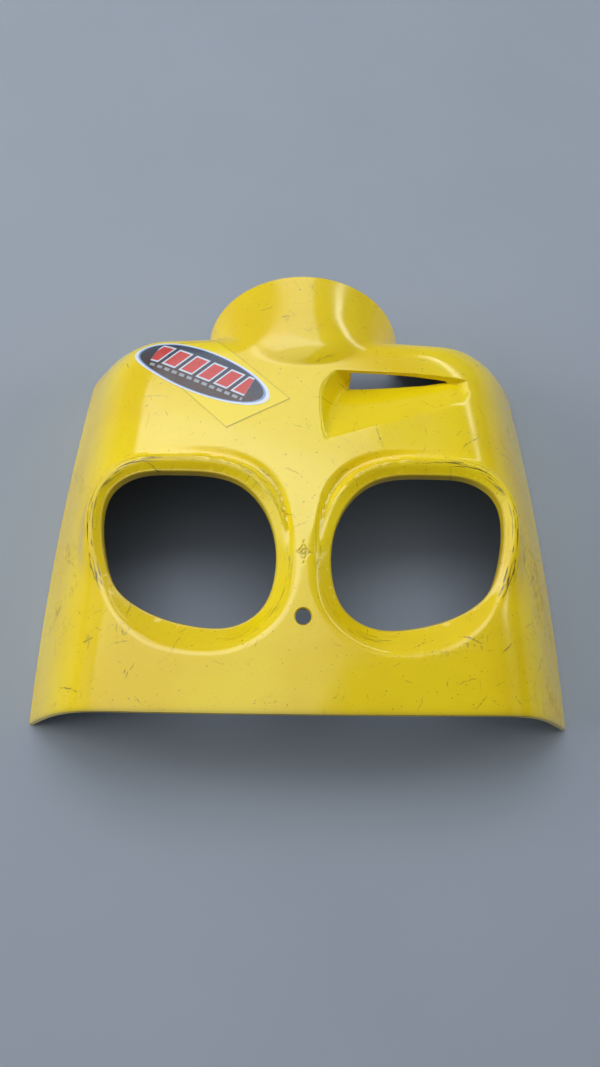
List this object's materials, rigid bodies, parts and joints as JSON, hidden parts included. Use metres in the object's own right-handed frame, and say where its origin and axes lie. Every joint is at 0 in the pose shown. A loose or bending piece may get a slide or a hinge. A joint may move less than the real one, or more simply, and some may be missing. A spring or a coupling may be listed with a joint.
{
  "type": "scooter front nose cowl",
  "caption": "Moulded scooter nose cowl with a pair of lamp openings, half-round hood, one-sided air scoop, fixing hole and stickers.",
  "frame": {"origin": "middle of the bounding box in X and Y, on the plane of the rear rim", "axes": "+X across the cowl, towards the scoop's side; +Y from the lower edge to the hood; +Z out of the face"},
  "size_m": [0.2834, 0.234, 0.0757],
  "materials": {
    "yellow_plastic": "moulded in colour, glossy, scuffed",
    "clear_film": "clear carrier film, aged",
    "printed_vinyl": "printed vinyl, satin gloss",
    "spring_steel": "phosphated spring steel"
  },
  "bodies": {
    "root": {"cowl_shell": "yellow_plastic", "decal_film": "clear_film", "decal_oval": "printed_vinyl", "film_scrap": "clear_film", "clip_nut_lower_left": "spring_steel", "clip_nut_lower_right": "spring_steel", "clip_nut_upper_left": "spring_steel", "clip_nut_upper_right": "spring_steel"}
  },
  "joints": []
}
